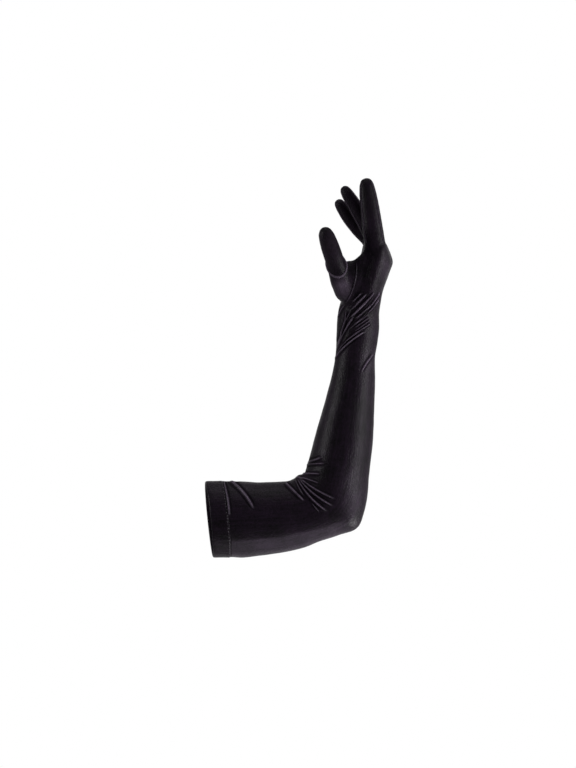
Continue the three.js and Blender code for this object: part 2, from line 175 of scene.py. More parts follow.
# The digits: where their root is, how far they lean forwards and to the thumb side, how much they curl
# by the tip, and how long, wide and thick they are.
DIGITS = {
    "index": dict(root=(208.7, -26.9, 330.8), lean=8.1, splay=2, curl=0, size=(94.8, 19, 23.6)),
    "middle": dict(root=(212.9, -7.2, 336.8), lean=27.5, splay=0, curl=5.5, size=(91, 17.6, 18.6)),
    "ring": dict(root=(215.8, 11.4, 338.3), lean=55.2, splay=-1, curl=-26.4, size=(83.2, 16.4, 18.4)),
    "little": dict(root=(210.3, 28.7, 329.1), lean=14.5, splay=-4, curl=8, size=(67, 15, 15.4)),
    "thumb": dict(root=(174.8, -15.7, 269.9), lean=19, splay=18, curl=0, size=(103.4, 22.5, 21.8)),
}
FINGER_GIRTH = [
    (0, 0.8), (0.16, 1.08), (0.3, 1.05), (0.5, 1), (0.67, 0.94), (0.81, 0.84), (0.9, 0.74),
    (0.95, 0.62), (0.98, 0.47), (0.995, 0.27), (1, 0.08),
]
THUMB_GIRTH = [
    (0, 0.4), (0.06, 0.9), (0.14, 1.24), (0.28, 1.24), (0.42, 1.1), (0.55, 1), (0.7, 1.01), (0.85, 0.94),
    (0.92, 0.8), (0.965, 0.6), (0.99, 0.34), (1, 0.1),
]

LEAST_BEND = 1e-6
MOST_INSET = 0.2

# Rounded fillings between the digits and the palm: the middle, the half sizes and the turn of each. They
# are the web of the thumb, its corner below the index finger, and the index finger's own root.
FILLINGS = [
    ((179.9, -25.9, 302.1), (22, 11, 21), 4.5),
    ((190, -28.5, 320), (9, 8, 15), 36),
    ((206.5, -23.5, 337), (14, 14.5, 19), 8),
]

# The cloth spans the hollows where the digits meet the palm, so it is smoothed out there: the middle and
# the reach of each. Then how often the whole skin, the hand above its start and the joins are evened.
JOINS = [
    (Vector((190, -32, 322)), 17), (Vector((206, -26, 340)), 15), (Vector((222, -18, 322)), 15),
    (Vector((168, -26, 276)), 20), (Vector((214, -8, 341)), 15), (Vector((217, 11, 341)), 15),
    (Vector((212, 29, 333)), 15),
]
HAND_START = 262
WHOLE_PASSES, HAND_PASSES, JOIN_PASSES = 2, 5, 22
SLEEVE_GRID = (96, 150)
DIGIT_GRID = (28, 60)


def digit_frame(digit):
    """A digit's own frame: its root is the origin, it runs up Z and its back is to X."""
    lean = Matrix.Rotation(math.radians(-digit["lean"]), 4, "Y")
    splay = Matrix.Rotation(math.radians(digit["splay"]), 4, "X")
    return Matrix.Translation(digit["root"]) @ lean @ splay


def digit_axes(digit, share):
    """A digit's middle and the way to its back, in its own frame, where it runs up from its root."""
    length = digit["size"][0]
    bend = math.radians(digit["curl"]) * share
    if abs(bend) < LEAST_BEND:
        return Vector((0, 0, share * length)), Vector((1, 0, 0))
    reach = share * length / bend
    middle = Vector((reach * (math.cos(bend) - 1), 0, reach * math.sin(bend)))
    return middle, Vector((math.cos(bend), 0, math.sin(bend)))


def digit_skin(name, share, turn, inset):
    """A point of the cloth round a digit: share runs from its root to its tip, turn round it."""
    digit = DIGITS[name]
    length, wide, thick = digit["size"]
    girth = along(THUMB_GIRTH if name == "thumb" else FINGER_GIRTH, share, 1)
    middle, back = digit_axes(digit, share * (1 - inset / length))
    inset = min(inset, girth * wide * MOST_INSET)
    local = (
        middle
        + back * (thick * girth / 2 - inset) * math.cos(turn * math.tau)
        + THUMB_SIDE * (wide * girth / 2 - inset) * math.sin(turn * math.tau)
    )
    return digit_frame(digit) @ local


def roll(bm, sides, rows, place):
    """Rolls a flat piece of sides by rows faces into a tube and closes its ends."""
    corners = bmesh.ops.create_grid(bm, x_segments=sides, y_segments=rows, size=1)["verts"]
    for corner in corners:
        corner.co = place((corner.co.y + 1) / 2, (corner.co.x + 1) / 2)
    bmesh.ops.remove_doubles(bm, verts=corners, dist=0.01)
    bmesh.ops.holes_fill(bm, edges=[e for e in bm.edges if e.is_boundary], sides=0)


def object_of(bm, name):
    """An object of the scene with a copy of the mesh."""
    mesh = bpy.data.meshes.new(name)
    bm.to_mesh(mesh)
    made = bpy.data.objects.new(name, mesh)
    bpy.context.scene.collection.objects.link(made)
    return made


def fused_skin(inset, voxel):
    """The sleeve, the palm and the digits as one skin, taken in by inset."""
    bm = bmesh.new()
    first = TRANK_START - CUT_OFF
    sleeve_end = SLEEVE_END - inset
    roll(bm, *SLEEVE_GRID, lambda row, turn: sleeve_skin(first + row * (sleeve_end - first), turn, inset))
    for name in DIGITS:
        roll(bm, *DIGIT_GRID, lambda row, turn: digit_skin(name, row, turn, inset - DIGIT_EASE))
    for middle, half, turn in FILLINGS:
        filling = bmesh.ops.create_uvsphere(bm, u_segments=28, v_segments=20, radius=1)["verts"]
        bmesh.ops.scale(bm, verts=filling, vec=[h - inset for h in half])
        bmesh.ops.rotate(bm, verts=filling, matrix=Matrix.Rotation(math.radians(turn), 3, "Y"))
        bmesh.ops.translate(bm, verts=filling, vec=middle)
    bmesh.ops.recalc_face_normals(bm, faces=bm.faces)
    rough = object_of(bm, "rough")
    bm.free()
    fuse = rough.modifiers.new("fuse", "REMESH")
    fuse.mode = "VOXEL"
    fuse.voxel_size = voxel
    fused = rough.evaluated_get(bpy.context.evaluated_depsgraph_get()).to_mesh()
    skin = bmesh.new()
    skin.from_mesh(fused)
    bpy.data.objects.remove(rough)
    hand = [v for v in skin.verts if v.co.z > HAND_START]
    joins = [v for v in hand if any((v.co - place).length < reach for place, reach in JOINS)]
    evens = (OUTER_VOXEL / voxel) ** 2
    for verts, passes in ((skin.verts, WHOLE_PASSES), (hand, HAND_PASSES), (joins, JOIN_PASSES)):
        for _ in range(math.ceil(passes * evens)):
            bmesh.ops.smooth_vert(
                skin, verts=verts, factor=0.5, use_axis_x=True, use_axis_y=True, use_axis_z=True
            )
    return skin


# Where the thumb's own piece is sewn in: a slanting plane across the thumb, and one that runs up from
# its corner to the web. What lies above the first and to the thumb's side of the second is the thumb's.
THUMB_SEAM = 53
THUMB_SEAM_TILT = 45
THUMB_REACH = 21
THUMB_FOOT = 20
WEB_SEAM_FOOT = Vector((173.5, 0, 303))
WEB_SEAM_HEAD = Vector((179.5, 0, 321))
thumb_frame = digit_frame(DIGITS["thumb"])
seam_way = thumb_frame.to_3x3() @ Matrix.Rotation(math.radians(THUMB_SEAM_TILT), 3, "X")
THUMB_PLANES = [
    (thumb_frame @ Vector((0, 0, THUMB_SEAM)), seam_way @ Vector((0, 0, 1))),
    (WEB_SEAM_FOOT, (WEB_SEAM_HEAD - WEB_SEAM_FOOT).cross(Vector((0, 1, 0))).normalized()),
]


def near_thumb(place):
    """Whether a place is in the thumb's upper part, so that the seam's planes cut nothing else."""
    local = thumb_frame.inverted() @ place
    return local.z > THUMB_FOOT and math.hypot(local.x, local.y) < THUMB_REACH


def cut_pieces(skin):
    """Cuts the skin at the hem and at the thumb's seam. Gives the trank's skin and the thumb's."""
    middle, forward, out = sleeve_axes(TRANK_START)
    bmesh.ops.bisect_plane(
        skin,
        geom=skin.verts[:] + skin.edges[:] + skin.faces[:],
        plane_co=middle,
        plane_no=forward - out * OPENING_TILT - THUMB_SIDE * OPENING_TURN,
        clear_inner=True,
    )
    for place, way in THUMB_PLANES:
        faces = [f for f in skin.faces if near_thumb(f.calc_center_median())]
        parts = {p for f in faces for p in (*f.verts, *f.edges, f)}
        bmesh.ops.bisect_plane(skin, geom=list(parts), plane_co=place, plane_no=way)
    skin.faces.ensure_lookup_table()
    in_thumb = []
    for face in skin.faces:
        centre = face.calc_center_median()
        beyond = all((centre - place).dot(way) > 0 for place, way in THUMB_PLANES)
        in_thumb.append(beyond and near_thumb(centre))
    thumb = skin.copy()
    for bm, goes in ((skin, True), (thumb, False)):
        unwanted = [f for f, inside in zip(bm.faces[:], in_thumb) if inside is goes]
        bmesh.ops.delete(bm, geom=unwanted, context="FACES")
    return skin, thumb


# The folds on the near side and on the far side: where each starts and ends as seen square to the
# sleeve (x, z), how far it bows to the left of its run, how high it stands and half its width.
NEAR_FOLDS = [
    (96.6, 44.7, 118.7, 23.3, 0, 2.2, 1.3),
    (108.8, 47.9, 119.6, 28.7, -0.6, 1.1, 1),
    (111.5, 49.2, 147.2, 10.5, -3.2, 2.3, 1.1),
    (112.9, 50.4, 154.4, 17.3, -3, 2.4, 1.1),
    (114.2, 51, 156.6, 26.4, -2, 2.2, 1.1),
    (109.7, 52.5, 137.4, 45, 1.2, 1.6, 1),
    (117.1, 56.5, 139.2, 56.8, 0.4, 1.9, 1.1),
    (122, 67.9, 145.4, 69.8, 0.6, 1.4, 1.1),
    (128.9, 20.2, 137.4, 9.3, 0, 1, 0.8),
    (122.5, 70, 141, 77.5, 0, 1.2, 1.5),
    (27.5, 47.5, 56, 13.8, 3, 2.4, 1.5),
    (18, 47, 25.5, 4, 2, 1.4, 1.3),
    (183.5, 318.9, 169.3, 267.2, 4.6, 0.7, 0.8),
    (168.8, 266.4, 160.7, 251.5, -0.6, 1.2, 1),
    (212.4, 282.5, 196.5, 260.3, 0.8, 1.7, 1),
    (204.7, 281.4, 174.6, 249.7, 0.8, 2, 1.1),
    (196, 280.3, 176.9, 260.3, 0.5, 1.4, 0.9),
    (190.1, 281.9, 179.3, 270.3, 0, 1, 0.8),
    (211.2, 274.4, 197.9, 256.7, 0, 1.3, 0.9),
    (197.1, 254.2, 182.5, 243.2, 0, 1.1, 0.8),
    (198.5, 250.8, 181.8, 238.6, 0, 1.1, 0.8),
    (199.6, 247.2, 181.5, 233.9, 0, 1.1, 0.8),
    (200.7, 243.6, 179, 229.7, 0, 1.1, 0.8),
    (181.1, 253.6, 160.3, 213.3, -1.6, 1.6, 1.1),
    (171.4, 259.2, 159.3, 216.8, 2.2, 1.3, 1),
    (192.2, 232.8, 156.5, 198.9, -3, 2, 1.1),
    (184.6, 231.4, 158.9, 205.7, -2.2, 1.4, 0.9),
    (204.7, 205.7, 190.1, 183.9, -0.8, 1.1, 1.2),
    (195, 279.2, 182.5, 267.5, 0, 0.9, 0.8),
    (191.1, 281.6, 179.4, 271.4, 0, 0.8, 0.8),
    (210.6, 273.8, 201.2, 259.7, 0, 1.2, 0.9),
    (201.2, 267.5, 182.5, 249.5, 0.5, 1.2, 0.9),
    (195, 255, 174.7, 236.2, 0, 1, 0.8),
    (176.2, 258.1, 163.8, 226.9, -1, 1.2, 1),
    (188.8, 234.7, 170, 220.6, -1, 1.1, 0.9),
]
FAR_FOLDS = [
    (97, 45, 116, 28, 0, 1.2, 2.6),
    (111, 48, 131, 16, 0, 1.3, 2),
    (114, 47, 144, 18, 1, 1.5, 2),
    (117, 50, 150, 28, 2, 1.3, 2),
    (118, 55, 140, 50, 0, 1.1, 2.2),
    (122, 66, 140, 70, 0, 0.8, 2.2),
    (30, 46, 50, 20, 2, 1.2, 2.4),
    (204, 262, 172, 226, 0, 1, 2.4),
    (205, 250, 170, 214, 0, 0.9, 2.4),
    (188, 280, 166, 250, 2, 0.8, 2.4),
]

# Where a fold rises and where it dies away, as shares of its run, how deep the valleys at its sides are,
# how many half widths off it ends, and the least height that gets finer faces. Then the cloth's slow
# swells, as their size and height, and how far it may sink below the plain skin.
FOLD_ENDS = (-0.08, 0.1, 0.78, 1.06)
VALLEY = 0.9
FOLD_REACH = 4
FOLD_SHOWS = 0.03
SWELLS = [(38, 0.45), (11, 0.16)]
LOWEST = -1.1
SIDE_BLEND = 0.3

# The line on the near side of the upper sleeve, as (x, z), below which a band of painted sheen stands in
# for the light from below, where that ends towards the elbow, half the line's width, and how much lighter
# it is painted.
UNDER_LINE = [(-6, -25.5), (32, -25), (80, -22.5), (107, -17.5), (145, -10), (162, -3)]
UNDER_END = (150, 182)
UNDER_EDGE = 1.5
UNDER_PAINTED_SHEEN = 0.25

# Painted sheen on the fold crests: the colour is painted lighter as the folds rise through these heights.
# In their valleys the pile is closed, which makes it rougher; below 0 it is closed, down to a limit.
PAINTED_CREST_HEIGHTS = (0.1, 1.5)
VALLEY_CLOSES = 2.5
MOST_CLOSED = -0.6

# Spots of painted sheen on the near side, painted lighter where the light falls: the middle (x, z), the
# half width and height, how much. A negative amount takes painted sheen away and makes the pile rougher.
PAINTED_SHEEN_SPOTS = [
    (165.6, 289.4, 9, 12, 0.6), (197, 196, 7, 12, 0.3), (219, 319, 5, 18, 0.15), (179, 36, 14, 28, 0.2),
    (155, 345, 9, 28, -0.8),
]


def fold_height(place, side):
    """How far the folds of one side lift the cloth."""
    height = 0
    for x0, z0, x1, z1, bow, high, half in side:
        run = Vector((x1 - x0, z1 - z0))
        ahead = Vector((place.x - x0, place.z - z0))
        share = ahead.dot(run) / run.length_squared
        if not FOLD_ENDS[0] < share < FOLD_ENDS[3]:
            continue
        beside = (run.x * ahead.y - run.y * ahead.x) / run.length
        beside = (beside - bow * 4 * share * (1 - share)) / half
        if abs(beside) > FOLD_REACH:
            continue
        ends = smooth(*FOLD_ENDS[:2], share) * (1 - smooth(*FOLD_ENDS[2:], share))
        height += high * ends * (1 - VALLEY * beside**2) * math.exp(-0.5 * beside**2)
    return height


def folds_at(place, normal):
    """How much a place faces the near side, and how far the folds of both sides lift it."""
    near = smooth(SIDE_BLEND, -SIDE_BLEND, normal.y)
    return near, near * fold_height(place, NEAR_FOLDS) + (1 - near) * fold_height(place, FAR_FOLDS)


def lift(place, normal):
    """How far the cloth stands off the plain skin: its folds and its slow swells."""
    _, height = folds_at(place, normal)
    for size, high in SWELLS:
        height += high * noise.noise(place / size)
    return max(height, LOWEST)


def painted_sheen_at(place, normal):
    """How much painted sheen a place gets from fold crests, the under band and the spots, up to 1, or
    below 0 how much its pile is closed.
    """
    near, folds = folds_at(place, normal)
    painted_sheen = smooth(*PAINTED_CREST_HEIGHTS, folds) + VALLEY_CLOSES * min(folds, 0)
    # The band below the under line is painted lighter on the near side only: painted sheen for the light
    # from below.
    below = smooth(-UNDER_EDGE, UNDER_EDGE, along(UNDER_LINE, place.x, 1) - place.z)
    painted_sheen += UNDER_PAINTED_SHEEN * near * below * (1 - smooth(*UNDER_END, place.x))
    # The spots are painted sheen on the near side only, lighter where the light falls.
    for x, z, wide, high, much in PAINTED_SHEEN_SPOTS:
        off = ((place.x - x) / wide) ** 2 + ((place.z - z) / high) ** 2
        painted_sheen += near * much * math.exp(-off)
    return max(min(painted_sheen, 1), MOST_CLOSED)


def fold(skin):
    """Cuts the skin finer where the near side's folds are, stores the painted sheen, and raises the folds
    of both sides.
    """
    skin.normal_update()
    fine = set()
    for face in skin.faces:
        height = abs(fold_height(face.calc_center_median(), NEAR_FOLDS))
        if face.normal.y < 0 and height > FOLD_SHOWS:
            fine.update(face.edges)
    bmesh.ops.subdivide_edges(skin, edges=list(fine), cuts=2, use_grid_fill=True, smooth=0)
    skin.normal_update()
    layer = skin.verts.layers.float.new("painted_sheen")
    moves = []
    for vert in skin.verts:
        vert[layer] = painted_sheen_at(vert.co, vert.normal)
        moves.append((vert, vert.normal * lift(vert.co, vert.normal)))
    for vert, move in moves:
        vert.co += move


# The rims at the hem lie below this x, and the rims at the thumb's seam above it.
HEM_SIDE = 80


def with_wall(outer, inner):
    """Joins an outer and an inner skin at their open edges into one cloth with a wall."""
    for face in inner.faces:
        face.material_index = 1
    bmesh.ops.reverse_faces(inner, faces=inner.faces)
    mesh = bpy.data.meshes.new("wall")
    inner.to_mesh(mesh)
    outer.from_mesh(mesh)
    bpy.data.meshes.remove(mesh)
    rims = [e for e in outer.edges if e.is_boundary]
    for group in (True, False):
        rim = [e for e in rims if (e.verts[0].co.x < HEM_SIDE) is group]
        if rim:
            bmesh.ops.bridge_loops(outer, edges=rim)
    bmesh.ops.recalc_face_normals(outer, faces=outer.faces)


# The lines that the cloth's weave follows, so that its streaks run along the sleeve and each digit. The
# sleeve's line ends short of the knuckles, and a digit's starts above its root.
GIRTH = 200
MM = 0.001
LAY_STEP = 6
LAY_END = SLEEVE_END - 12
LAY_PARTS = 20
LAY_FIRST = 4
lay_points = []
for k in range(0, len(sleeve_line), LAY_STEP):
    if k * STEP < LAY_END:
        lay_points.append((sleeve_line[k], k * STEP, None))
for name, digit in DIGITS.items():
    for k in range(LAY_FIRST, LAY_PARTS + 1):
        share = k / LAY_PARTS
        middle, _ = digit_axes(digit, share)
        lay_points.append((digit_frame(digit) @ middle, SLEEVE_END + share * digit["size"][0], name))
lay_tree = KDTree(len(lay_points))
for k, (point, _, _) in enumerate(lay_points):
    lay_tree.insert(point, k)
lay_tree.balance()


def lay_of(place):
    """The turn round the sleeve or digit that a point is on, and its distance along it."""
    _, k, _ = lay_tree.find(place)
    middle, station, name = lay_points[k]
    if name is None:
        _, forward, out = sleeve_axes(station)
    else:
        turned = digit_frame(DIGITS[name]).to_3x3()
        forward, out = turned @ Vector((0, 0, 1)), turned @ Vector((1, 0, 0))
    away = place - middle
    turn = math.atan2(away.dot(THUMB_SIDE), away.dot(out)) / math.tau % 1
    return turn, station + away.dot(forward)


def lay_weave(bm):
    """Gives the cloth its UV map: round the sleeve and along it, in metres."""
    layer = bm.loops.layers.uv.new("weave")
    lays = {v: lay_of(v.co) for v in bm.verts}
    for face in bm.faces:
        turns = [lays[corner.vert][0] for corner in face.loops]
        split = max(turns) - min(turns) > 0.5
        for corner in face.loops:
            turn, station = lays[corner.vert]
            if split and turn < 0.5:
                turn += 1
            corner[layer].uv = (turn * GIRTH * MM, station * MM)


def finished(bm, name, *materials):
    """Brings a mesh to metres and makes the piece of it."""
    bmesh.ops.scale(bm, verts=bm.verts, vec=(MM, MM, MM))
    for face in bm.faces:
        face.smooth = True
    made = object_of(bm, name)
    for material in materials:
        made.data.materials.append(material)
    bm.free()
    return made


def colour(code):
    """An sRGB hex colour as the linear one that a socket takes."""
    parts = [int(code[i : i + 2], 16) / 255 for i in (1, 3, 5)]
    linear = [c / 12.92 if c <= 0.04045 else ((c + 0.055) / 1.055) ** 2.4 for c in parts]
    return (*linear, 1)


def add(tree, kind, inputs=None, **settings):
    """Adds a node with its settings. A socket among inputs is linked, and a value is set."""
    made = tree.nodes.new(kind)
    for name, value in settings.items():
        setattr(made, name, value)
    for socket, value in (inputs or {}).items():
        if isinstance(value, bpy.types.NodeSocket):
            tree.links.new(value, made.inputs[socket])
        else:
            made.inputs[socket].default_value = value
    return made


def blank(name):
    """A material without nodes."""
    made = bpy.data.materials.new(name)
    made.use_nodes = True
    made.node_tree.nodes.clear()
    return made


# Stretch velvet: a knitted ground with a short, dense cut pile. Looked into, the pile swallows light and
# is nearly black; seen along, its fibres shine with a purplish grey. The pile is brushed a little
# unevenly, so the sheen is mottled, and the knit's courses leave faint streaks along it. The sizes
# of the patches, the mottle, the pile's tufts and the streaks are in metres, and WORN is the span of the
# mixed noise from deep pile to shiny pile.
PATCH = 0.026
MOTTLE = 0.0035
PILE = 0.0019
STREAK = (0.0022, 0.045)
WORN = (0.36, 0.66)
velvet = blank("stretch_velvet")
tree = velvet.node_tree
place = add(tree, "ShaderNodeTexCoord")
patches = add(
    tree, "ShaderNodeTexNoise",
    {"Vector": place.outputs["Object"], "Scale": 1 / PATCH, "Detail": 3.0, "Roughness": 0.55},
)
mottle = add(
    tree, "ShaderNodeTexNoise",
    {"Vector": place.outputs["Object"], "Scale": 1 / MOTTLE, "Detail": 4.0, "Roughness": 0.6},
)
pile = add(
    tree, "ShaderNodeTexNoise",
    {"Vector": place.outputs["Object"], "Scale": 1 / PILE, "Detail": 2.0, "Roughness": 0.7},
)
across = add(
    tree, "ShaderNodeMapping",
    {"Vector": place.outputs["UV"], "Scale": (1 / STREAK[0], 1 / STREAK[1], 1)},
)
streaks = add(
    tree, "ShaderNodeTexNoise",
    {"Vector": across.outputs["Vector"], "Scale": 1.0, "Detail": 3.0, "Roughness": 0.6},
)
brushed = add(
    tree, "ShaderNodeMix",
    {"Factor": 0.5, "A": patches.outputs["Fac"], "B": mottle.outputs["Fac"]},
    data_type="FLOAT",
)
worn = add(
    tree, "ShaderNodeMix",
    {"Factor": 0.35, "A": brushed.outputs["Result"], "B": streaks.outputs["Fac"]},
    data_type="FLOAT",
)
shade = add(tree, "ShaderNodeValToRGB", {"Fac": worn.outputs["Result"]})
shade.color_ramp.elements[0].position = WORN[0]
shade.color_ramp.elements[0].color = colour("#010101")
shade.color_ramp.elements[1].position = WORN[1]
shade.color_ramp.elements[1].color = colour("#070408")
# This attribute paints light into the colour: above 0 the pile is painted lighter, a painted highlight on
# fold crests, seams and lit places, mottled by the noise. Below 0 it only makes the pile rougher.
painted_sheen = add(tree, "ShaderNodeAttribute", attribute_name="painted_sheen")
closed = add(
    tree, "ShaderNodeMapRange",
    {
        "Value": painted_sheen.outputs["Fac"], "From Min": MOST_CLOSED, "From Max": 0.0,
        "To Min": 0.5, "To Max": 0.0,
    },
)
uneven = add(
    tree, "ShaderNodeMapRange",
    {
        "Value": worn.outputs["Result"], "From Min": WORN[0], "From Max": WORN[1],
        "To Min": 0.35, "To Max": 1.1,
    },
)
painted_sheen_amount = add(
    tree, "ShaderNodeMath",
    {0: painted_sheen.outputs["Fac"], 1: uneven.outputs["Result"]},
    operation="MULTIPLY", use_clamp=True,
)
# The lit colour is painted highlight: the pile's colour mixed towards a lighter purplish grey.
lit = add(
    tree, "ShaderNodeMix",
    {"Factor": painted_sheen_amount.outputs["Value"], "A": shade.outputs["Color"], "B": colour("#231e25")},
    data_type="RGBA",
)
gloss = add(
    tree, "ShaderNodeMapRange",
    {
        "Value": worn.outputs["Result"], "From Min": WORN[0], "From Max": WORN[1],
        "To Min": 0.4, "To Max": 0.27,
    },
)
matt = add(
    tree, "ShaderNodeMath",
    {0: gloss.outputs["Result"], 1: closed.outputs["Result"]},
    operation="ADD",
)
relief = add(
    tree, "ShaderNodeBump",
    {"Height": worn.outputs["Result"], "Strength": 0.7, "Distance": 0.0012},
)
fibres = add(
    tree, "ShaderNodeBump",
    {
        "Height": pile.outputs["Fac"], "Strength": 0.7, "Distance": 0.0006,
        "Normal": relief.outputs["Normal"],
    },
)
cloth = add(
    tree, "ShaderNodeBsdfPrincipled",
    {
        "Base Color": lit.outputs["Result"],
        "Roughness": matt.outputs["Value"],
        "Specular IOR Level": 0.01,
        "Sheen Weight": 0.003,
        "Sheen Roughness": 0.5,
        "Sheen Tint": colour("#d9c8de"),
        "Normal": fibres.outputs["Normal"],
    },
)
add(tree, "ShaderNodeOutputMaterial", {"Surface": cloth.outputs["BSDF"]})

# The back of the same cloth is a plain fine knit, matt and a little lighter than the pile. It shows
# only inside the opening. Its wales are 0.9 mm apart, too fine to show, so they are drawn 2.2 mm apart.
# The wave texture's bands repeat every TAU / 20 at a scale of 1.
WALE = 0.0022
FUZZ = 0.004
backing = blank("knit_backing")
tree = backing.node_tree
place = add(tree, "ShaderNodeTexCoord")
wales = add(
    tree, "ShaderNodeTexWave",
    {"Vector": place.outputs["UV"], "Scale": math.tau / 20 / WALE, "Distortion": 0.6, "Detail": 1.0},
    wave_type="BANDS", bands_direction="X",
)
fuzz = add(
    tree, "ShaderNodeTexNoise",
    {"Vector": place.outputs["Object"], "Scale": 1 / FUZZ, "Detail": 4.0},
)
mixed = add(
    tree, "ShaderNodeMix",
    {"Factor": 0.5, "A": wales.outputs["Fac"], "B": fuzz.outputs["Fac"]},
    data_type="FLOAT",
)
shade = add(tree, "ShaderNodeValToRGB", {"Fac": mixed.outputs["Result"]})
shade.color_ramp.elements[0].position = 0.2
shade.color_ramp.elements[0].color = colour("#141015")
shade.color_ramp.elements[1].position = 0.8
shade.color_ramp.elements[1].color = colour("#2a252c")
ribbed = add(
    tree, "ShaderNodeBump",
    {"Height": mixed.outputs["Result"], "Strength": 0.4, "Distance": 0.0002},
)
knit = add(
    tree, "ShaderNodeBsdfPrincipled",
    {
        "Base Color": shade.outputs["Color"],
        "Roughness": 0.9,
        "Specular IOR Level": 0.15,
        "Normal": ribbed.outputs["Normal"],
    },
)
add(tree, "ShaderNodeOutputMaterial", {"Surface": knit.outputs["BSDF"]})

# The outer and the inner skin, each cut into the trank's and the thumb's. What the seams lie on is kept.
trank_skin, thumb_skin = cut_pieces(fused_skin(0, OUTER_VOXEL))
fold(trank_skin)
fold(thumb_skin)
seam_tree = BVHTree.FromBMesh(trank_skin)
thumb_tree = BVHTree.FromBMesh(thumb_skin)
thumb_rim = [[v.co.copy() for v in e.verts] for e in thumb_skin.edges if e.is_boundary]
trank_wall, thumb_wall = cut_pieces(fused_skin(CLOTH + INNER_SPARE, INNER_VOXEL))
with_wall(trank_skin, trank_wall)
lay_weave(trank_skin)
trank = finished(trank_skin, "trank", velvet, backing)
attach(trank, "root")
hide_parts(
    "upper_sleeve", "elbow_sleeve", "forearm_sleeve", "hand_heel", "palm", "knuckles",
    "index_finger", "middle_finger", "ring_finger", "little_finger",
)

# The thumb is a small piece of the same velvet, sewn into a slanting hole at the ball of the thumb so
# that the thumb can stand away from the palm.
with_wall(thumb_skin, thumb_wall)
lay_weave(thumb_skin)
thumb = finished(thumb_skin, "thumb_piece", velvet, backing)
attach(thumb, "root")
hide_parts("thumb")

# The hem: the velvet is turned in over the glove's opening, 22 mm deep, and stitched down. The turned edge
# is round and a little fuller than the sleeve, and the cloth is double there, 2.4 mm. Its section is a
# share of the depth and how far it stands off the sleeve's skin. Small puckers lie at the stitching.
HEM_DEPTH = 22
HEM_SIDES = 230
HEM_INSIDE = -1
HEM_PUCKERS = 46
PUCKER = 0.22
PUCKER_START = (0.5, 0.95)
HEM_SECTION = [
    (1, 0), (0.97, -0.15), (0.94, 0.25), (0.9, 0.45), (0.7, 0.35), (0.45, 0.25), (0.25, 0.25),
    (0.1, 0.15), (0.04, -0.2), (0.008, -0.75), (0, -1.25), (0.012, -1.8), (0.05, -2.2), (0.12, -2.4),
    (0.35, -2.4), (0.6, -2.4), (0.85, -2.4), (0.98, -2.3), (1.0, -1.2),
]


def skin_and_normal(station, turn):
    """A point of the sleeve's cloth, and the way out of it."""
    skin = sleeve_skin(station, turn, 0)
    return skin, (sleeve_skin(station, turn, -1) - skin).normalized()


def hem_skin(row, turn):
    """The band's section runs along its outside, round the turned edge and back along its inside."""
    k = round(row * len(HEM_SECTION)) % len(HEM_SECTION)
    share, off = HEM_SECTION[k]
    station = share * HEM_DEPTH
    drift = 2 * noise.noise(Vector((turn * 9, 0, 0)))
    pucker = PUCKER * math.sin(turn * math.tau * HEM_PUCKERS + drift)
    skin, normal = skin_and_normal(station, turn)
    raised = lift(skin, normal) + pucker * smooth(*PUCKER_START, share) if off > HEM_INSIDE else 0
    return skin + normal * (off + raised)


bm = bmesh.new()
flat = bmesh.ops.create_grid(bm, x_segments=HEM_SIDES, y_segments=len(HEM_SECTION), size=1)["verts"]
for corner in flat:
    corner.co = hem_skin((corner.co.y + 1) / 2, (corner.co.x + 1) / 2)
bmesh.ops.remove_doubles(bm, verts=bm.verts, dist=0.001)
bmesh.ops.recalc_face_normals(bm, faces=bm.faces)
lay_weave(bm)
hem = finished(bm, "hem_band", velvet)
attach(hem, "root")
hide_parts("hem")

# The hem's stitches: one row of short stitches in matt black polyester thread, 2.4 mm long with a small
# space between, just above the turned cloth's raw edge.
STITCHES = 76
STITCH = (2.4, 0.75, 0.5)
STITCH_RISE = 0.25
STITCH_STATION = 0.93 * HEM_DEPTH
TWIST = 0.0006
thread = blank("polyester_thread")
tree = thread.node_tree
place = add(tree, "ShaderNodeTexCoord")
twist = add(
    tree, "ShaderNodeTexNoise",
    {"Vector": place.outputs["Object"], "Scale": 1 / TWIST, "Detail": 2.0},
)
shade = add(tree, "ShaderNodeValToRGB", {"Fac": twist.outputs["Fac"]})
shade.color_ramp.elements[0].color = colour("#080609")
shade.color_ramp.elements[1].color = colour("#1a161c")
strand = add(
    tree, "ShaderNodeBump",
    {"Height": twist.outputs["Fac"], "Strength": 0.5, "Distance": 0.0002},
)
spun = add(
    tree, "ShaderNodeBsdfPrincipled",
    {
        "Base Color": shade.outputs["Color"],
        "Roughness": 0.55,
        "Specular IOR Level": 0.12,
        "Normal": strand.outputs["Normal"],
    },
)
add(tree, "ShaderNodeOutputMaterial", {"Surface": spun.outputs["BSDF"]})

bm = bmesh.new()
for k in range(STITCHES):
    turn = k / STITCHES
    skin, normal = skin_and_normal(STITCH_STATION, turn)
    ahead = (sleeve_skin(STITCH_STATION, turn + 0.002, 0) - skin).normalized()
    axes = Matrix((ahead, normal.cross(ahead), normal)).transposed().to_4x4()
    axes.translation = skin + normal * (STITCH_RISE + lift(skin, normal))
    made = bmesh.ops.create_icosphere(bm, subdivisions=2, radius=0.5, matrix=axes)["verts"]
    bmesh.ops.scale(bm, verts=made, vec=STITCH, space=axes.inverted())
stitches = finished(bm, "hem_stitches", thread)
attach(stitches, "root")

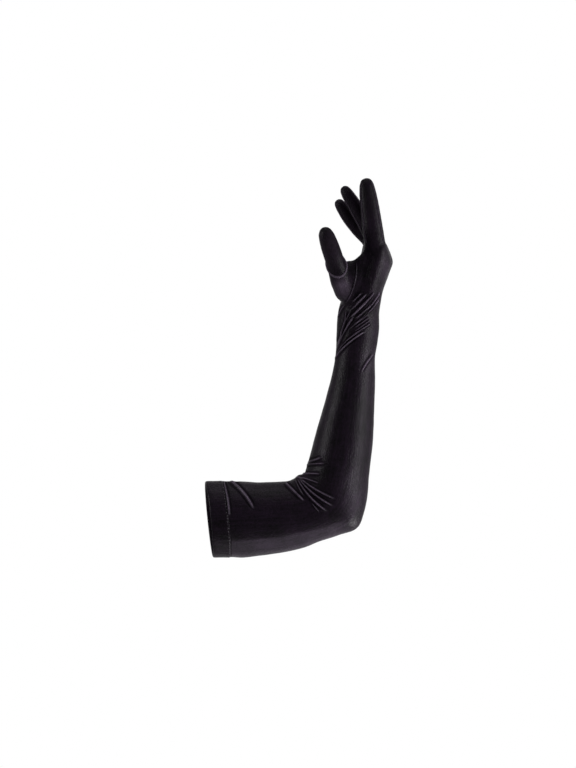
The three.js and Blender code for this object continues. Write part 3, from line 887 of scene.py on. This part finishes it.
# The seams. The two halves of the hand are sewn together down both sides of each finger, and one seam
# runs from the little finger down the outer edge of the hand and sleeve to the hem. The thumb's seam
# is a loop. Each is a fine raised ridge of cloth with a painted highlight. A seam's start and stop are
# shares of a finger's length, and its turn is where it lies round the finger or the sleeve.
RIDGE = 0.8
THUMB_RIDGE = 1.4
SEAM_PAINTED_SHEEN = 0.45
THUMB_SEAM_PAINTED_SHEEN = 0.9
FINGER_SEAMS = [("index", 0.16), ("middle", 0.36), ("ring", 0.4), ("little", 0.4)]
FINGER_REACH = 4
SEAM_TURNS = (0.11, 0.4, 0.6, 0.89)
SEAM_STOP = 0.95
SEAM_PARTS = 40
EDGE_TURN = 0.75
EDGE_STEP = 3
EDGE_POINTS = 145
EDGE_START = 0.3
EDGE_PARTS = 30


def ridge(name, half, painted_sheen, runs):
    """Fine ridges of cloth along runs of points, each a list with whether it closes."""
    curve = bpy.data.curves.new(name, "CURVE")
    curve.dimensions = "3D"
    curve.bevel_depth = half
    curve.bevel_resolution = 2
    curve.use_fill_caps = True
    for points, closes in runs:
        spline = curve.splines.new("POLY")
        spline.points.add(len(points) - 1)
        for corner, point in zip(spline.points, points):
            corner.co = (*point, 1)
        spline.use_cyclic_u = closes
    drawn = bpy.data.objects.new(name, curve)
    bpy.context.scene.collection.objects.link(drawn)
    mesh = drawn.evaluated_get(bpy.context.evaluated_depsgraph_get()).to_mesh()
    bm = bmesh.new()
    bm.from_mesh(mesh)
    bpy.data.objects.remove(drawn)
    bmesh.ops.remove_doubles(bm, verts=bm.verts, dist=0.001)
    bmesh.ops.recalc_face_normals(bm, faces=bm.faces)
    lay_weave(bm)
    # Each ridge is painted lighter all along: a painted highlight.
    layer = bm.verts.layers.float.new("painted_sheen")
    for vert in bm.verts:
        vert[layer] = painted_sheen
    return finished(bm, name, velvet)


def on_cloth(point, tree, reach=9):
    """The nearest point of the cloth, a hair above it, if there is one within reach."""
    found, normal, _, _ = tree.find_nearest(point, reach)
    return found + normal * 0.12 if found else None


def even(points, passes):
    """Evens out a run of points and keeps its ends."""
    for _ in range(passes):
        points = [
            p if i in (0, len(points) - 1) else (points[i - 1] + 2 * p + points[i + 1]) / 4
            for i, p in enumerate(points)
        ]
    return points


runs = []
for name, start in FINGER_SEAMS:
    shares = [start + (SEAM_STOP - start) * k / SEAM_PARTS for k in range(SEAM_PARTS + 1)]
    for turn in SEAM_TURNS:
        points = [on_cloth(digit_skin(name, s, turn, 0), seam_tree, FINGER_REACH) for s in shares]
        runs.append((even([p for p in points if p], 2), False))
edge = [sleeve_skin(TRANK_START + 1 + k * EDGE_STEP, EDGE_TURN, 0) for k in range(EDGE_POINTS)]
shares = [EDGE_START + 0.7 * k / EDGE_PARTS for k in range(EDGE_PARTS + 1)]
edge += [digit_skin("little", s, EDGE_TURN, 0) for s in shares]
edge = [p for p in (on_cloth(p, seam_tree) for p in edge) if p]
runs.append((even(edge, 4), False))
side_seams = ridge("side_seams", RIDGE, SEAM_PAINTED_SHEEN, runs)
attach(side_seams, "root")

# The thumb's seam follows the rim of the thumb's piece: its edges are put in order, each from the end of
# the last, and the loop is evened.
loop = [thumb_rim.pop()]
while thumb_rim:
    end = loop[-1][1]
    gaps = [min((a - end).length, (b - end).length) for a, b in thumb_rim]
    a, b = thumb_rim.pop(gaps.index(min(gaps)))
    loop.append((a, b) if (a - end).length < (b - end).length else (b, a))
points = [a for a, _ in loop]
for _ in range(6):
    after = points[1:] + points[:1]
    points = [(points[i - 1] + 2 * p + after[i]) / 4 for i, p in enumerate(points)]
points = [on_cloth(p, thumb_tree) for p in points]
thumb_seam = ridge("thumb_seam", THUMB_RIDGE, THUMB_SEAM_PAINTED_SHEEN, [(points, True)])
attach(thumb_seam, "root")

# The studio: a plain white floor well below the glove, which hangs free, held at its opening, a white
# surround, and strong narrow lamps at both sides, above and below, which the pile picks up edge-on.
FLOOR_RADIUS = 5
FLOOR_LEVEL = -1.7
bm = bmesh.new()
bmesh.ops.create_circle(bm, cap_ends=True, segments=96, radius=FLOOR_RADIUS)
bmesh.ops.translate(bm, verts=bm.verts, vec=(0, 0, FLOOR_LEVEL))
floor = object_of(bm, "floor")
bm.free()
paper = blank("white_paper")
tree = paper.node_tree
card = add(
    tree, "ShaderNodeBsdfPrincipled",
    {
        "Base Color": colour("#f4f4f4"),
        "Roughness": 0.9,
        "Emission Color": colour("#ffffff"),
        "Emission Strength": 0.2,
    },
)
add(tree, "ShaderNodeOutputMaterial", {"Surface": card.outputs["BSDF"]})
floor.data.materials.append(paper)

world = bpy.data.worlds.new("white_surround")
bpy.context.scene.world = world
world.use_nodes = True
world.node_tree.nodes["Background"].inputs["Color"].default_value = (1, 1, 1, 1)
world.node_tree.nodes["Background"].inputs["Strength"].default_value = 1
bpy.context.scene.view_settings.view_transform = "Standard"

# Each lamp: its place from the glove's middle, its width and height in metres, and its watts. The left
# one stands high, so that it doesn't glare along the upper sleeve when the glove is seen from its elbow.
MIDDLE = Vector((0.14, 0, 0.15))
LAMPS = [
    ("right_front", (1.39, -0.56, 0), (0.35, 1.2), 170),
    ("right_back", (1.48, 0.26, 0), (0.5, 1.2), 20),
    ("right_low", (1.04, 0.26, -1.04), (0.5, 0.6), 90),
    ("low", (0, -0.31, -1.47), (1.2, 0.35), 29),
    ("top_front", (0, -0.56, 1.39), (1.2, 0.5), 20),
    ("top_back", (0, 0.26, 1.48), (1.2, 0.5), 24),
    ("left", (-1.47, -0.29, 0.37), (0.35, 0.75), 84),
]
for name, way, (wide, tall), power in LAMPS:
    lamp = bpy.data.lights.new(name, "AREA")
    lamp.shape = "RECTANGLE"
    lamp.size = wide
    lamp.size_y = tall
    lamp.energy = power
    made = bpy.data.objects.new(name, lamp)
    made.location = MIDDLE + Vector(way)
    made.rotation_euler = (-Vector(way)).to_track_quat("-Z", "Y").to_euler()
    made.visible_camera = False
    bpy.context.scene.collection.objects.link(made)
